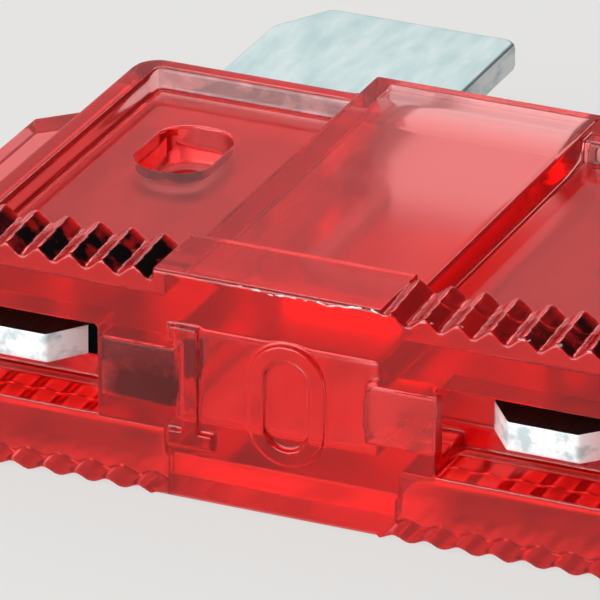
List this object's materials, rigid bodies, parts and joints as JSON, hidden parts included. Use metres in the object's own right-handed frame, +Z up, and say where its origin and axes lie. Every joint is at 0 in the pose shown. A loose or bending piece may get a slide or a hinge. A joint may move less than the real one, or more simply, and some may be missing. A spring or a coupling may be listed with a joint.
{
  "type": "automotive blade fuse",
  "caption": "Flat plug-in blade fuse: clear red ribbed plastic housing with a window block over the link, test slots, and flat sheet blades standing out of the back.",
  "frame": {"origin": "centre of the bounding box, on the plane of the lower rib crests", "axes": "+X across the two blades, +Y from the numbered front face towards the blade tips, +Z up out of the upper flat side"},
  "size_m": [0.019, 0.0186, 0.0051],
  "materials": {
    "red_polycarbonate": "gloss",
    "zinc_sheet": "satin"
  },
  "bodies": {
    "root": {"housing": "red_polycarbonate", "fuse_element": "zinc_sheet"}
  },
  "joints": []
}
